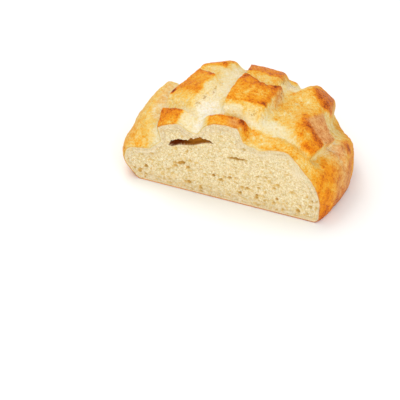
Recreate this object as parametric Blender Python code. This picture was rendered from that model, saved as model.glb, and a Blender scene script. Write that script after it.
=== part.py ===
"""A crusty cob loaf, scored into a lattice of plates and cut down one side, as one solid of bread.

The loaf is a low dome on a flat foot. Scores cross its top and leave raised plates, with a lip
where the crust tore and a long soft bank where the dough swelled. One cut, square to the table,
takes the front of the loaf away and shows the crumb with its few large holes.
Lengths are millimetres until the loaf is placed. X runs along the cut, Y into the loaf, Z up.
"""

import math
from dataclasses import dataclass

import bmesh
import bpy
import numpy as np
from mathutils import Vector, noise

MM = 0.001

# The dome before it is cut; the cut lies at Y = 0
CENTRE_X = -4.0
CENTRE_Y = 58.0
HALF_WIDTH = 113.0
HALF_LENGTH = 117.0
WIDEST_HEIGHT = 20.0
DOME_RISE = 77.0
DOME_POWER = 1.2
FOOT_SHARE = 0.94

# The foot lies further to the right at the cut
FOOT_SHIFT = 4.0
FOOT_SHIFT_REACH = 30.0

# The left flank sags outwards near the cut, and the right one falls in behind it
SAG_CENTRE = (-106.0, 8.0, 27.0)
SAG_REACH = 30.0
SAG_SIZE = 5.0
HOLLOW_CENTRE = (84.0, 126.0, 38.0)
HOLLOW_REACH = 28.0
HOLLOW_SIZE = 6.0

# Scores: depth under the dome at the cut and further in, and where they run out on the flank
SCORE_DEPTH_AT_CUT = 11.5
SCORE_DEPTH = 8.5
SCORE_DEEP_REACH = 40.0
SCORE_END_LOW = 30.0
SCORE_END_HIGH = 48.0
LIP_REACH = 12.0

# Uneven dough: wavelength and height of the lumps
LUMPS = ((42.0, 1.6), (15.0, 0.7))

# Mesh: cells across the dome, and how much finer they are at the top than at the foot
GRID_CELLS = 72
TOP_FINENESS = 0.35
PROFILE_STEPS = 200

# Holes in the crumb: middle near the cut, half sizes along X, Y and Z, and slope along the cut
TUNNEL = ((-37.5, -0.4, 56.4), (23.5, 12.0, 4.7), 17.0)
SLIT = ((9.6, -0.4, 49.8), (10.5, 3.5, 1.1), 6.0)
PORE = ((-46.2, -0.4, 30.0), (5.0, 3.0, 2.2), 18.0)
HOLE_SEGMENTS = 20
HOLE_RINGS = 10

# Depth of the block that cuts the front of the loaf away
CUT_BLOCK = 150.0

CRUST_COLOUR = (0.62, 0.30, 0.08, 1.0)
CRUMB_COLOUR = (0.72, 0.60, 0.36, 1.0)


@dataclass(frozen=True)
class Side:
    """One side of a plate: how far its edge stands off the dome, and how wide its bank is."""

    lift: float
    bank: float


@dataclass(frozen=True)
class Plate:
    """A raised plate of crust: four corners anticlockwise from the front left, then its sides."""

    corners: tuple
    front: Side
    right: Side
    back: Side
    left: Side
    height: float = 0.0


LIP = Side(lift=1.8, bank=6.5)
STEP = Side(lift=1.0, bank=7.0)
SOFT = Side(lift=0.0, bank=24.0)
EASY = Side(lift=0.0, bank=14.0)
BROW = Side(lift=0.0, bank=21.0)
SHOULDER = Side(lift=0.5, bank=16.0)
RIM = Side(lift=1.0, bank=9.0)

FRONT_ROW = (
    Plate(((-69, -14), (-56, -14), (-52, 13), (-72, 20)), EASY, Side(-0.8, 18.0), LIP, STEP),
    Plate(((-16, -25), (3, -25), (9, 9), (-22, 8)), EASY, Side(0.0, 12.0), LIP, Side(-4.5, 15.0)),
    Plate(((56, -25), (88, -25), (88, 9), (60, 7)), EASY, EASY, EASY, Side(2.0, 26.0)),
)
MIDDLE_ROW = (
    Plate(((-75, 47), (-50, 36), (-42, 71), (-61.5, 87)), SOFT, EASY, LIP, STEP),
    Plate(((-13, 31), (3, 32), (11, 60), (-11, 78)), BROW, EASY, LIP, STEP),
    Plate(((3, 32), (22, 35), (26, 69), (11, 60)), BROW, RIM, LIP, EASY),
    Plate(((62, 26), (77, 22), (86, 52), (68, 70)), EASY, LIP, EASY, Side(1.5, 20.0)),
)
BACK_ROW = (
    Plate(((-61.5, 106), (-46, 113), (-43, 131), (-55, 133)), SOFT, SOFT, RIM, STEP, 5.2),
    Plate(((-13, 97), (17, 98), (13, 130), (-20, 130)), SOFT, SHOULDER, RIM, STEP, -0.5),
    Plate(((50, 100), (69, 93), (66, 128), (50, 132)), SOFT, SHOULDER, RIM, EASY, 5.0),
)
LAST_ROW = (
    Plate(((-44, 147), (-18, 143), (-14, 162), (-36, 158)), RIM, EASY, EASY, RIM, -4.0),
    Plate(((-3, 143), (24, 143), (22, 162), (-2, 164)), RIM, EASY, EASY, RIM, -4.0),
    Plate(((38, 143), (62, 140), (54, 156), (36, 160)), RIM, EASY, EASY, RIM, -4.0),
)
FLANKS = (
    Plate(((-130, -2), (-92, -2), (-93, 84), (-130, 84)), Side(-13.0, 10.0), EASY, LIP, EASY, 2.5),
    Plate(((-130, 124), (-88, 124), (-64, 154), (-130, 154)), EASY, SOFT, EASY, EASY, -5.0),
    Plate(((86, -25), (130, -25), (130, 42), (97, 42)), EASY, EASY, RIM, EASY),
    Plate(((95, 54), (130, 50), (130, 90), (99, 86)), RIM, EASY, EASY, RIM),
    Plate(((101, 124), (130, 120), (112, 152), (86, 150)), EASY, EASY, EASY, EASY, -6.0),
)
PLATES = FRONT_ROW + MIDDLE_ROW + BACK_ROW + LAST_ROW + FLANKS


def smooth(value):
    """Eases a value from 0 to 1 with level ends."""
    share = np.clip(value, 0.0, 1.0)
    return share * share * (3.0 - 2.0 * share)


def plate_height(plate, x, y):
    """How far a plate has risen out of the scores, from 0 to 1, and how far it stands up."""
    rise = np.ones_like(x)
    lift = np.full_like(x, plate.height)
    sides = (plate.front, plate.right, plate.back, plate.left)
    for number, side in enumerate(sides):
        start = np.array(plate.corners[number], dtype=float)
        along = np.array(plate.corners[(number + 1) % 4], dtype=float) - start
        along /= np.hypot(*along)
        inward = (y - start[1]) * along[0] - (x - start[0]) * along[1]
        rise *= smooth(1.0 + inward / side.bank)
        lift += side.lift * np.exp(-np.maximum(inward, 0.0) / LIP_REACH)
    return rise, lift


def relief(x, y, dome_height):
    """Height of the crust over the plain dome at a place in plan."""
    sunk = np.ones_like(x)
    lips = np.zeros_like(x)
    for plate in PLATES:
        rise, lift = plate_height(plate, x, y)
        sunk *= 1.0 - rise
        lips += rise * lift
    gape = smooth(1.0 - y / SCORE_DEEP_REACH)
    depth = SCORE_DEPTH + (SCORE_DEPTH_AT_CUT - SCORE_DEPTH) * gape
    fade = smooth((dome_height - SCORE_END_LOW) / (SCORE_END_HIGH - SCORE_END_LOW))
    return (lips - depth * sunk) * fade


def side_profile():
    """Distance, radius share and height down the side of the dome, from its top to its foot."""
    angle = np.linspace(0.0, math.pi / 2, PROFILE_STEPS)
    over = np.sin(angle)
    under = FOOT_SHARE + (1.0 - FOOT_SHARE) * np.cos(angle[1:])
    share = np.concatenate([over, under])
    top = WIDEST_HEIGHT + DOME_RISE * np.cos(angle) ** DOME_POWER
    bottom = WIDEST_HEIGHT * (1.0 - np.sin(angle[1:]))
    height = np.concatenate([top, bottom])
    radius = (HALF_WIDTH + HALF_LENGTH) / 2 * share
    steps = np.hypot(np.diff(radius), np.diff(height))
    distance = np.concatenate([[0.0], np.cumsum(steps)])
    return distance / distance[-1], share, height


def disc_grid():
    """A square grid pressed round, so that its cells keep much the same size."""
    mesh = bmesh.new()
    bmesh.ops.create_grid(mesh, x_segments=GRID_CELLS, y_segments=GRID_CELLS, size=1.0)
    for vertex in mesh.verts:
        x, y = vertex.co.xy
        vertex.co.x = x * math.sqrt(1.0 - y * y / 2)
        vertex.co.y = y * math.sqrt(1.0 - x * x / 2)
    return mesh


def dome_points(disc):
    """Points of the plain dome, and the directions out of it, for points of the unit disc."""
    reach = np.hypot(disc[:, 0], disc[:, 1])
    turn = np.arctan2(disc[:, 1], disc[:, 0])
    down = reach * (1.0 + TOP_FINENESS * reach ** 2) / (1.0 + TOP_FINENESS)
    distance, share, height = side_profile()
    share_at = np.interp(down, distance, share)
    height_at = np.interp(down, distance, height)
    x = CENTRE_X + HALF_WIDTH * share_at * np.cos(turn)
    y = CENTRE_Y + HALF_LENGTH * share_at * np.sin(turn)
    rise = -np.interp(down, distance, np.gradient(height, distance))
    run = np.interp(down, distance, np.gradient(share * HALF_WIDTH, distance))
    size = np.maximum(np.hypot(rise, run), 1e-9)
    outward = np.stack([rise * np.cos(turn), rise * np.sin(turn), run], axis=1) / size[:, None]
    near_cut = smooth(1.0 - y / FOOT_SHIFT_REACH)
    x += FOOT_SHIFT * near_cut * smooth(1.0 - height_at / WIDEST_HEIGHT)
    return np.stack([x, y, height_at], axis=1), outward


def lumps(points):
    """Uneven swelling of the dough, fading out at the foot."""
    swelling = np.zeros(len(points))
    for wavelength, size in LUMPS:
        swelling += [size * noise.noise(Vector(point) / wavelength) for point in points]
    return swelling * smooth(points[:, 2] / WIDEST_HEIGHT)


def swelling_at(points, centre, reach, size):
    """A round swelling of the dome, greatest at its centre."""
    distance = np.linalg.norm(points - np.array(centre), axis=1)
    return size * smooth(1.0 - distance / reach)


def sag(points):
    """How far the flanks stand out of the plain dome."""
    left = swelling_at(points, SAG_CENTRE, SAG_REACH, SAG_SIZE)
    return left - swelling_at(points, HOLLOW_CENTRE, HOLLOW_REACH, HOLLOW_SIZE)


def loaf_mesh():
    """The whole uncut loaf as one closed mesh, its crust displaced by the scores."""
    mesh = disc_grid()
    disc = np.array([vertex.co.xy for vertex in mesh.verts])
    points, outward = dome_points(disc)
    push = relief(points[:, 0], points[:, 1], points[:, 2]) + lumps(points) + sag(points)
    points += outward * push[:, None]
    for vertex, point in zip(mesh.verts, points):
        vertex.co = point
        if vertex.is_boundary:
            vertex.co.z = 0.0
    rim = [edge for edge in mesh.edges if edge.is_boundary]
    bmesh.ops.contextual_create(mesh, geom=rim)
    bmesh.ops.recalc_face_normals(mesh, faces=mesh.faces)
    return mesh


def material(name, colour, roughness):
    """A Principled material of one colour."""
    made = bpy.data.materials.new(name)
    made.use_nodes = True
    shader = made.node_tree.nodes["Principled BSDF"]
    shader.inputs["Base Color"].default_value = colour
    shader.inputs["Roughness"].default_value = roughness
    shader.inputs["Metallic"].default_value = 0.0
    return made


def add_object(name, mesh, finish):
    """Links a finished mesh as a named object."""
    data = bpy.data.meshes.new(name)
    mesh.to_mesh(data)
    mesh.free()
    data.materials.append(finish)
    made = bpy.data.objects.new(name, data)
    bpy.context.collection.objects.link(made)
    return made


def cut_away(loaf, cutter):
    """Takes a cutter's shape out of the loaf."""
    cutter.parent = loaf.parent
    cutter.hide_render = True
    cutter.display_type = "WIRE"
    cut = loaf.modifiers.new(cutter.name, "BOOLEAN")
    cut.operation = "DIFFERENCE"
    cut.solver = "EXACT"
    cut.object = cutter


def cut_block(finish):
    """The block in front of the cut."""
    mesh = bmesh.new()
    bmesh.ops.create_cube(mesh, size=2 * CUT_BLOCK * MM)
    block = add_object("cut_block", mesh, finish)
    block.location = (0.0, -CUT_BLOCK * MM, 0.0)
    return block


def hole(name, place, finish):
    """A lens-shaped hole, centred on the cut and sloping along it."""
    middle, half_sizes, slope = place
    mesh = bmesh.new()
    bmesh.ops.create_uvsphere(mesh, u_segments=HOLE_SEGMENTS, v_segments=HOLE_RINGS, radius=1.0)
    bmesh.ops.scale(mesh, vec=Vector(half_sizes) * MM, verts=mesh.verts)
    made = add_object(name, mesh, finish)
    made.location = Vector(middle) * MM
    made.rotation_euler = (0.0, -math.radians(slope), 0.0)
    return made


def build():
    """Builds the loaf with its base's middle at the world's origin."""
    for old in list(bpy.data.objects):
        bpy.data.objects.remove(old, do_unlink=True)
    crust = material("crust", CRUST_COLOUR, 0.6)
    crumb = material("crumb", CRUMB_COLOUR, 0.95)
    mesh = loaf_mesh()
    kept = np.array([vertex.co for vertex in mesh.verts if vertex.co.y > 0.0])
    lowest, highest = kept.min(axis=0), kept.max(axis=0)
    bmesh.ops.scale(mesh, vec=(MM, MM, MM), verts=mesh.verts)
    loaf = add_object("loaf", mesh, crust)
    loaf.data.materials.append(crumb)
    base = bpy.data.objects.new("base_middle", None)
    base.location = Vector((-(lowest[0] + highest[0]) / 2, -highest[1] / 2, 0.0)) * MM
    bpy.context.collection.objects.link(base)
    loaf.parent = base
    cut_away(loaf, cut_block(crumb))
    for name, place in (("tunnel", TUNNEL), ("slit", SLIT), ("pore", PORE)):
        cut_away(loaf, hole(name, place, crumb))
    loaf.data.shade_smooth()
    loaf.data.set_sharp_from_angle(angle=math.radians(40))


build()
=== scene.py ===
"""The looks of a cut crusty cob loaf: its scored crust, its open crumb and the studio round it."""

import logging
import math
from collections.abc import Callable
from dataclasses import dataclass, field
from enum import Enum

import bmesh
import bpy
import numpy as np
from mathutils import Matrix, Vector, noise


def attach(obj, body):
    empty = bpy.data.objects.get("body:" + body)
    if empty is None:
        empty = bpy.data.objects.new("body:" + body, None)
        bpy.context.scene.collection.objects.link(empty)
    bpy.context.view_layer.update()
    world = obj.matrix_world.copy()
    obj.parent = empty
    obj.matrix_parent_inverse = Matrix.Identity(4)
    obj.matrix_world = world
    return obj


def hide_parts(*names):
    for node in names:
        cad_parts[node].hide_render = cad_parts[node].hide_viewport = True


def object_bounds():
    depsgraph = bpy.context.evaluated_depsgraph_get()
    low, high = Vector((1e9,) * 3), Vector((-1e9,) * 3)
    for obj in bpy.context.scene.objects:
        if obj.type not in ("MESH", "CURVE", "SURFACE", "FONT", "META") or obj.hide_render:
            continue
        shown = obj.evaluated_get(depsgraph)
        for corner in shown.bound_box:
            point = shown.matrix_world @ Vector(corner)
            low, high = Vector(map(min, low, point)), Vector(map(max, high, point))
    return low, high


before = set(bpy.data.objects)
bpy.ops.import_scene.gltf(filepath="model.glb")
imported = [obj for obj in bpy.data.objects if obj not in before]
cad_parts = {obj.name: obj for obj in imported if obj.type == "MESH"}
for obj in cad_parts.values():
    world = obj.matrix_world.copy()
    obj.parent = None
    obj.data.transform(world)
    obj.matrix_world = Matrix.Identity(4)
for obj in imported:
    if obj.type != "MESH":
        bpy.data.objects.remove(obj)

MM = 0.001
CAD_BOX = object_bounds()
CUT_LEFT_REACH = 117.2
LOG = logging.getLogger("loaf")

Array = np.ndarray
Point = tuple[float, float, float]
Place = tuple[float, float]
Corners = tuple[Place, Place, Place, Place]
Row = tuple[float, ...]
Waves = tuple[tuple[float, float], ...]
Colour = tuple[float, float, float, float]
Stops = tuple[tuple[float, Colour], ...]


def smooth(value: Array) -> Array:
    """Eases values from 0 to 1 with level ends."""
    share = np.clip(value, 0.0, 1.0)
    return share * share * (3.0 - 2.0 * share)


def blend(low: Array, high: Array | float, share: Array) -> Array:
    """Goes from one value to another as the share goes from 0 to 1."""
    return low + (high - low) * share


def grain(points: Array, wavelength: float, seed: float = 0.0) -> Array:
    """Reads smooth noise at points.

    Args:
        points: Places in mm, one row each, of two or three numbers.
        wavelength: Size of one bump in mm, or one size for each axis.
        seed: Shift that makes one pattern differ from another.

    Returns:
        A value of about -1 to 1 for each point.
    """
    scaled = np.zeros((len(points), 3))
    scaled[:, : points.shape[1]] = points / np.asarray(wavelength)
    scaled += (seed, -1.7 * seed, 0.6 * seed)
    return np.array([noise.noise(row) for row in scaled.tolist()])


def to_world(point: Point) -> Vector:
    """Turns a place in mm from the middle of the cut's base line into metres in the frame."""
    corner = CAD_BOX[0]
    return Vector((corner.x + CUT_LEFT_REACH * MM, corner.y, corner.z)) + Vector(point) * MM


ORIGIN = np.array(to_world((0.0, 0.0, 0.0)))


def deselect_all() -> None:
    """Leaves nothing selected, so that an operator acts on the new piece alone."""
    for item in list(bpy.context.selected_objects):
        item.select_set(False)


def read_points(piece: bpy.types.Object) -> Array:
    """Gives a piece's vertices as rows of x, y and z."""
    flat = np.zeros(len(piece.data.vertices) * 3)
    piece.data.vertices.foreach_get("co", flat)
    return flat.reshape(-1, 3)


def write_points(piece: bpy.types.Object, points: Array) -> None:
    """Moves a piece's vertices to rows of x, y and z, in mm from the middle of the cut's base line."""
    piece.data.vertices.foreach_set("co", (points * MM + ORIGIN).ravel())
    piece.data.update()


def write_values(piece: bpy.types.Object, name: str, values: Array) -> None:
    """Stores a number on each vertex, for the piece's finish to read."""
    layer = piece.data.attributes.new(name, "FLOAT", "POINT")
    layer.data.foreach_set("value", values.astype(np.float32))


def grid_piece(name: str, across: int, along: int) -> bpy.types.Object:
    """Adds a flat grid that reaches from -1 to 1 both ways.

    Args:
        name: Name of the piece.
        across: Cells along X.
        along: Cells along Y.

    Returns:
        The new object, selected and active.
    """
    deselect_all()
    bpy.ops.mesh.primitive_grid_add(x_subdivisions=across, y_subdivisions=along, size=2.0)
    piece = bpy.context.active_object
    piece.name = name
    piece.data.name = name
    return piece


def select_open_edge() -> None:
    """Goes into edit mode and selects the open edge of the active piece."""
    bpy.ops.object.mode_set(mode="EDIT")
    bpy.ops.mesh.select_mode(type="EDGE")
    bpy.ops.mesh.select_all(action="DESELECT")
    bpy.ops.mesh.select_non_manifold()


def close_selected() -> None:
    """Closes the selected edge with one face, turns all faces outwards and leaves edit mode."""
    bpy.ops.mesh.edge_face_add()
    bpy.ops.mesh.select_all(action="SELECT")
    bpy.ops.mesh.normals_make_consistent(inside=False)
    bpy.ops.object.mode_set(mode="OBJECT")


def back_off(extrude: Callable[..., set[str]], depth: float, taper: float, centre: Vector) -> None:
    """Draws what is selected back into the loaf and narrows it.

    Args:
        extrude: The operator that draws it back.
        depth: How far it goes back, in mm.
        taper: Its size at the back as a share of its size on the cut.
        centre: The middle of the cut, in m.
    """
    extrude(TRANSFORM_OT_translate={"value": (0.0, depth * MM, 0.0)})
    bpy.ops.transform.resize(value=(taper, 1.0, taper), center_override=centre)


def round_off(square: Array) -> Array:
    """Presses the points of a square into the unit disc."""
    x, y = square[:, 0], square[:, 1]
    return np.stack([x * np.sqrt(1.0 - y * y / 2), y * np.sqrt(1.0 - x * x / 2)], axis=1)


@dataclass(frozen=True)
class EdgeForm:
    """How one side of a plate of crust ends.

    Attributes:
        lift: How far the edge curls up over the plate, in mm.
        bank: Width of the slope down to the score's floor, in mm.
        fade: Width over which the plate's colour ends, in mm.
        scorch: How much browner the edge is than the plate.
        lean: How far the edge leans out over the score, in mm.
    """

    lift: float
    bank: float
    fade: float
    scorch: float = 0.0
    lean: float = 0.0


class Edge(Enum):
    """The kinds of edge that a plate of crust has."""

    LIP = EdgeForm(1.8, 5.2, 1.6, 0.16, 1.2)
    STEP = EdgeForm(1.0, 5.8, 2.0, 0.08, 0.6)
    RIM = EdgeForm(1.0, 8.0, 3.0, 0.08)
    EASY = EdgeForm(0.0, 14.0, 5.0)
    BROW = EdgeForm(0.0, 21.0, 2.0, 0.04)
    SOFT = EdgeForm(0.0, 24.0, 4.0)
    BLUNT = EdgeForm(0.0, 12.0, 6.0, 0.06)
    SHOULDER = EdgeForm(0.5, 16.0, 12.0, 0.06)
    FAR = EdgeForm(1.0, 8.0, 8.0, 0.04)
    SLUMPED = EdgeForm(-0.8, 18.0, 4.0)
    SUNKEN = EdgeForm(-4.5, 15.0, 2.0, 0.04)
    LONG = EdgeForm(2.0, 26.0, 20.0)
    FACE = EdgeForm(1.5, 20.0, 8.0)
    DIPPED = EdgeForm(-13.0, 10.0, 10.0)


@dataclass(frozen=True)
class Plate:
    """A raised plate of crust between the scores.

    Attributes:
        corners: Four places in plan, anticlockwise from the front left.
        edges: How its front, right, back and left sides end.
        height: How far it stands off the dome, in mm.
        top: How brown its top is baked, from 0 to 1.
        bank: How brown its banks are baked.
    """

    corners: Corners
    edges: tuple[Edge, Edge, Edge, Edge]
    height: float = 0.0
    top: float = 0.68
    bank: float = 0.32


def inward(corners: Corners, side: int, plan: Array) -> tuple[Array, Array]:
    """Measures how far places lie inside one side of a field with four corners.

    Args:
        corners: The field's corners in plan, anticlockwise from the front left.
        side: Number of the side, from the front round to the left.
        plan: Places in mm, as rows of x and y.

    Returns:
        The distances in mm, and the unit direction that points out of the field.
    """
    start = np.array(corners[side], dtype=float)
    along = np.array(corners[(side + 1) % 4], dtype=float) - start
    along /= np.hypot(*along)
    distance = (plan[:, 1] - start[1]) * along[0] - (plan[:, 0] - start[0]) * along[1]
    return distance, np.array([along[1], -along[0]])


@dataclass
class CrustState:
    """What the plates make of each place on the dome.

    Attributes:
        sunk: Share of the score's depth that is left, from 0 on a plate to 1 in a score.
        lift: Height over the dome from plates and lips, in mm.
        lean: Sideways shift of lips, in mm, as rows of x and y.
        bake: How brown the crust is.
        edge: Nearness to a torn edge, from 0 to 1.
        blush: How rosy the crust is, from 0 to 1.
        tear: How crumbly and torn the crust is, from 0 to 1.
    """

    sunk: Array
    lift: Array
    lean: Array
    bake: Array
    edge: Array
    blush: Array
    tear: Array


@dataclass(frozen=True)
class Tone:
    """A spot of crust that is baked lighter or darker than its surroundings.

    Attributes:
        place: Its middle in plan, in mm.
        reach: How far it reaches along X and Y, in mm.
        bake: How brown it is.
        strength: How much of it shows, from 0 to 1.
    """

    place: Place
    reach: Place
    bake: float
    strength: float = 0.8

    def share(self, plan: Array) -> Array:
        """Gives how much of the spot shows at places in plan."""
        return self.strength * np.exp(-(((plan - self.place) / self.reach) ** 2).sum(axis=1))


@dataclass(frozen=True)
class Wash:
    """A stretch of crust with straight sides that is baked lighter or darker.

    Attributes:
        corners: Four places in plan, anticlockwise from the front left.
        soft: Width over which it ends, in mm.
        bake: How brown it is.
        strength: How much of it shows, from 0 to 1.
    """

    corners: Corners
    soft: float
    bake: float
    strength: float = 0.9

    def share(self, plan: Array) -> Array:
        """Gives how much of the stretch shows at places in plan."""
        shown = np.full(len(plan), self.strength)
        for side in range(4):
            inside, _ = inward(self.corners, side, plan)
            shown *= smooth(0.5 + inside / self.soft)
        return shown


def tones(*rows: Row) -> tuple[Tone, ...]:
    """Makes spots from rows of x, y, the two reaches, the bake and any strength that isn't usual."""
    return tuple(Tone(row[:2], row[2:4], *row[4:]) for row in rows)


def marks(*rows: Row) -> tuple[Tone, ...]:
    """Makes spots without a bake of their own from rows of x, y, the two reaches and the strength."""
    return tuple(Tone(row[:2], row[2:4], 0.0, row[4]) for row in rows)


Shade = Tone | Wash

L, S, R, E, F, D = Edge.LIP, Edge.STEP, Edge.RIM, Edge.EASY, Edge.SOFT, Edge.SHOULDER
FRONT_ROW = (
    Plate(((-69, -14), (-56, -14), (-52, 13), (-72, 20)), (E, Edge.SLUMPED, L, S), 0.0, 0.63, 0.14),
    Plate(((-16, -25), (3, -25), (9, 9), (-22, 8)), (E, Edge.BLUNT, L, Edge.SUNKEN), 0.0, 0.60, 0.26),
    Plate(((56, -25), (88, -25), (88, 9), (60, 7)), (E, E, E, Edge.LONG), 0.0, 0.46, 0.40),
)
MIDDLE_ROW = (
    Plate(((-75, 47), (-50, 36), (-42, 71), (-61.5, 87)), (F, E, L, S), 0.0, 0.62, 0.28),
    Plate(((-13, 31), (3, 32), (11, 60), (-11, 78)), (Edge.BROW, E, L, S), 0.0, 0.62, 0.42),
    Plate(((3, 32), (22, 35), (26, 69), (11, 60)), (Edge.BROW, R, L, E), 0.0, 0.62, 0.40),
    Plate(((62, 26), (77, 22), (86, 52), (68, 70)), (E, L, E, Edge.FACE), 0.0, 0.56, 0.50),
)
BACK_ROW = (
    Plate(((-61.5, 106), (-46, 113), (-43, 131), (-55, 133)), (F, F, R, S), 5.2, 0.66, 0.24),
    Plate(((-13, 97), (17, 98), (13, 130), (-20, 130)), (F, D, R, S), -0.5, 0.74, 0.46),
    Plate(((50, 100), (69, 93), (66, 128), (50, 132)), (F, D, R, E), 5.0, 0.60, 0.42),
)
LAST_ROW = (
    Plate(((-44, 147), (-18, 143), (-14, 162), (-36, 158)), (Edge.FAR, E, E, Edge.FAR), -4.0, 0.60),
    Plate(((-3, 143), (24, 143), (22, 162), (-2, 164)), (Edge.FAR, E, E, Edge.FAR), -4.0, 0.62),
    Plate(((38, 143), (62, 140), (54, 156), (36, 160)), (Edge.FAR, E, E, Edge.FAR), -4.0, 0.58),
)
FLANKS = (
    Plate(((-130, -2), (-92, -2), (-93, 84), (-130, 84)), (Edge.DIPPED, E, L, E), 2.5, 0.38, 0.44),
    Plate(((-130, 124), (-88, 124), (-64, 154), (-130, 154)), (E, F, E, E), -5.0, 0.46, 0.36),
    Plate(((86, -25), (130, -25), (130, 42), (97, 42)), (E, E, R, E), 0.0, 0.60, 0.46),
    Plate(((95, 54), (130, 50), (130, 90), (99, 86)), (R, E, E, R), 0.0, 0.46, 0.40),
    Plate(((101, 124), (130, 120), (112, 152), (86, 150)), (E, E, E, E), -6.0, 0.54, 0.45),
)
PLATES = FRONT_ROW + MIDDLE_ROW + BACK_ROW + LAST_ROW + FLANKS

GROUND_SHADES: tuple[Shade, ...] = (
    Wash(((-18, 11), (2, 12), (4, 17), (-16, 16)), 4.0, 0.44),
    Wash(((-22, 20), (4, 20), (4, 26), (-22, 25)), 4.0, 0.06, 0.8),
    Wash(((8, -6), (60, -6), (64, 14), (14, 12)), 8.0, 0.43),
    Wash(((30, 30), (64, 26), (64, 76), (30, 74)), 9.0, 0.39),
    Wash(((26, 72), (72, 70), (72, 100), (38, 98)), 10.0, 0.40),
    Wash(((-12, 74), (24, 72), (24, 96), (-12, 96)), 6.0, 0.30),
    Wash(((14, 16), (58, 17), (56, 29), (10, 30)), 7.0, 0.10, 0.85),
    Wash(((-50, -6), (-24, -6), (-24, 34), (-42, 34)), 6.0, 0.02, 0.9),
    Wash(((-88, 14), (-77, 14), (-75, 90), (-92, 88)), 5.0, 0.20, 0.8),
    Wash(((20, 100), (40, 98), (44, 135), (20, 135)), 8.0, 0.12),
    Wash(((76, 66), (96, 60), (100, 125), (74, 125)), 8.0, 0.26, 0.8),
    *tones((38, 60, 7, 9, 0.48, 0.8), (82, 16, 10, 6, 0.46, 0.85)),
    Wash(((44, 8), (88, 9), (88, 17), (44, 15)), 5.0, 0.32, 0.8),
    *tones((29, 50, 5, 9, 0.42, 0.6), (-18, 37, 4, 6, 0.34, 0.7), (-46, 96, 9, 7, 0.26, 0.6)),
)
TOP_SHADES: tuple[Shade, ...] = (
    Wash(((-66, 99), (-41, 106), (-36, 134), (-60, 134)), 4.0, 0.68),
    *tones(
        (-64, 101, 3.5, 7, 0.80), (-43, 111, 4.5, 3.5, 0.84), (-54, 98, 8, 5, 0.34, 0.7),
        (-37, 124, 4, 6, 0.66),
    ),
    Wash(((-74, 38), (-48, 30), (-49, 42), (-70, 51)), 3.0, 0.42, 0.95),
    Wash(((-78, 26), (-48, 24), (-48, 34), (-76, 40)), 7.0, 0.33, 0.8),
    Wash(((-72, 52), (-64, 50), (-58, 84), (-66, 82)), 7.0, 0.72, 0.5),
    *tones(
        (-73.5, 47, 2.2, 3.5, 0.96, 0.9), (-50, 45, 5, 3.5, 0.78, 0.6), (-56, 66, 7, 9, 0.58, 0.7),
        (-66, 51.5, 4, 2.5, 0.82, 0.8), (-58, 47, 4, 2.5, 0.76, 0.7), (-45, 76, 6, 3, 0.78, 0.6),
        (-68, 15, 4, 4, 0.80, 0.7), (-59, 12, 6, 3.5, 0.76, 0.7), (-60, 1, 8, 5, 0.48, 0.8),
    ),
    Wash(((-51, -8), (-38, -8), (-40, 18), (-49, 17)), 5.0, 0.10, 0.95),
    *tones(
        (13.5, 6, 4.6, 5.5, 0.72, 0.8), (11.8, 7.4, 3.8, 3.0, 0.97, 0.95), (-17, 4, 5, 6, 0.50, 0.85),
        (-6, 7, 6, 3, 0.72, 0.7), (3, 5, 6, 5, 0.70, 0.7), (16, 2, 4, 7, 0.60, 0.7),
        (-21, 10, 2.5, 2.5, 0.86, 0.7), (-8, 14, 9, 2.2, 0.46, 0.8), (-6, 44, 6, 7, 0.53, 0.85),
        (-9, 68, 3.5, 7, 0.80, 0.8), (1, 62, 5, 6, 0.74, 0.6), (15.5, 48, 4.0, 4.5, 0.42, 0.85),
        (13, 58, 8, 4, 0.74, 0.7), (23, 64, 4, 6, 0.84, 0.8), (20.5, 36.5, 3.5, 4, 0.92, 0.85),
        (12, 34, 6, 2.5, 0.78, 0.7), (-15, 37, 3.5, 6, 0.40, 0.8),
    ),
    Wash(((-20, 18.5), (5, 19), (5, 26), (-20, 25)), 4.0, 0.06, 0.7),
    Tone((29, 60), (3, 12), 0.58, 0.7),
    Wash(((58, 36), (75, 23), (81, 38), (59, 58)), 4.0, 0.68),
    Wash(((61, 45), (82, 36), (89, 50), (70, 75)), 4.0, 0.60),
    Wash(((61, 38), (78, 29), (84, 34), (64, 45)), 3.5, 0.84, 0.85),
    *tones(
        (63, 41, 3, 5, 0.84, 0.7), (66, 30, 4.5, 5, 0.42, 0.8), (74, 20, 5, 3, 0.82, 0.8),
        (57.5, 36, 2.5, 8, 0.72, 0.8), (61, 26, 2.5, 5, 0.72, 0.7), (69, 20, 5, 2.5, 0.80, 0.7),
        (84, 46, 3, 5, 0.82, 0.7), (82, 56, 4, 9, 0.44, 0.7), (100, 68, 4.2, 7, 0.98, 0.95),
    ),
    Wash(((50, 98), (66, 79), (78, 88), (62, 136)), 5.0, 0.80),
    *tones(
        (-6, 92, 7, 2.5, 0.66, 0.6), (9, 95, 5, 2.5, 0.72, 0.7), (15, 100, 4, 6, 0.72, 0.7),
        (68, 88, 4, 5, 0.86, 0.8), (61, 95, 4, 6, 0.84, 0.7), (53, 102, 4, 5, 0.82, 0.8),
        (75, 100, 3, 11, 0.58, 0.6), (57, 79, 6, 6, 0.34, 0.8), (42, 92, 7, 5, 0.50, 0.6),
        (88, 27, 3.5, 6, 0.80, 0.8), (94, 23, 5, 7, 0.70, 0.7), (97, 47, 7, 11, 0.46, 0.8),
        (103, 24, 6, 8, 0.74, 0.7), (92, 8, 7, 8, 0.76, 0.7), (83, 36, 2.5, 6, 0.12, 0.7),
        (-102, 5, 4, 5, 0.66, 0.9), (-28, 150, 9, 6, 0.76, 0.7), (6, 153, 7, 8, 0.78, 0.7),
        (52, 146, 7, 5, 0.74, 0.7),
    ),
)
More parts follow.
